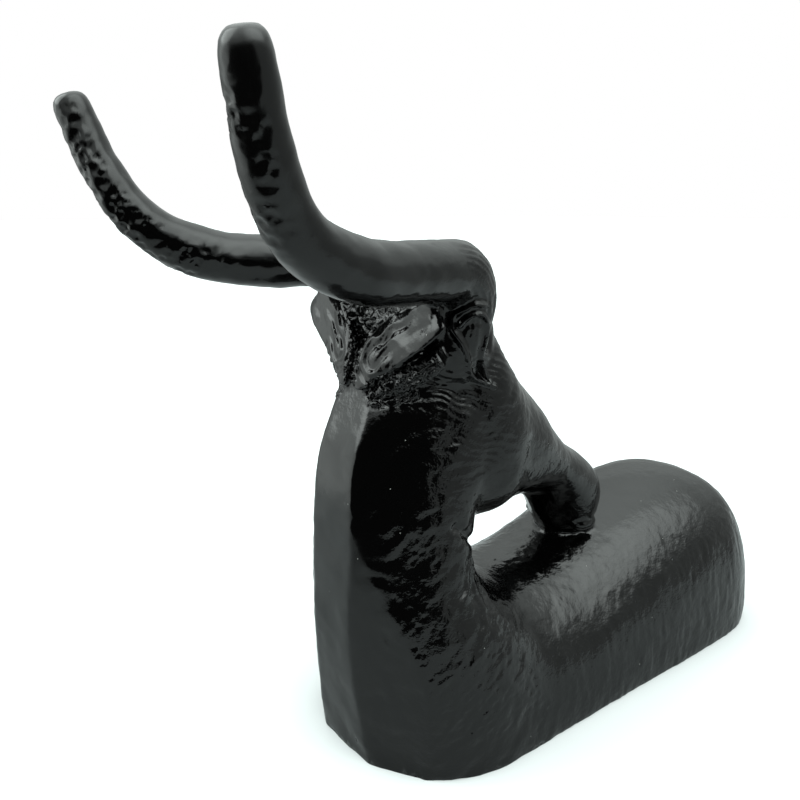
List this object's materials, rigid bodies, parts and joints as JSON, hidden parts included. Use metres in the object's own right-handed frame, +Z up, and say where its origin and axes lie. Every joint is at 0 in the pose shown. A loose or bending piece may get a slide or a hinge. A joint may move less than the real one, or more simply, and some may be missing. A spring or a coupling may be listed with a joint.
{
  "type": "deer sculpture",
  "caption": "Small gloss black figure of a resting stag, its head turned back to lie on its own back, that stands on a flat base by its own weight.",
  "frame": {"origin": "middle of the flat base's length, on its underside and on the middle plane", "axes": "+Z up, +X from the chest to the rump, the figure is alike on both sides of y = 0"},
  "size_m": [0.1924, 0.0875, 0.1545],
  "materials": {
    "black_gloss": "gloss"
  },
  "bodies": {
    "root": {"stag": "black_gloss"}
  },
  "joints": []
}
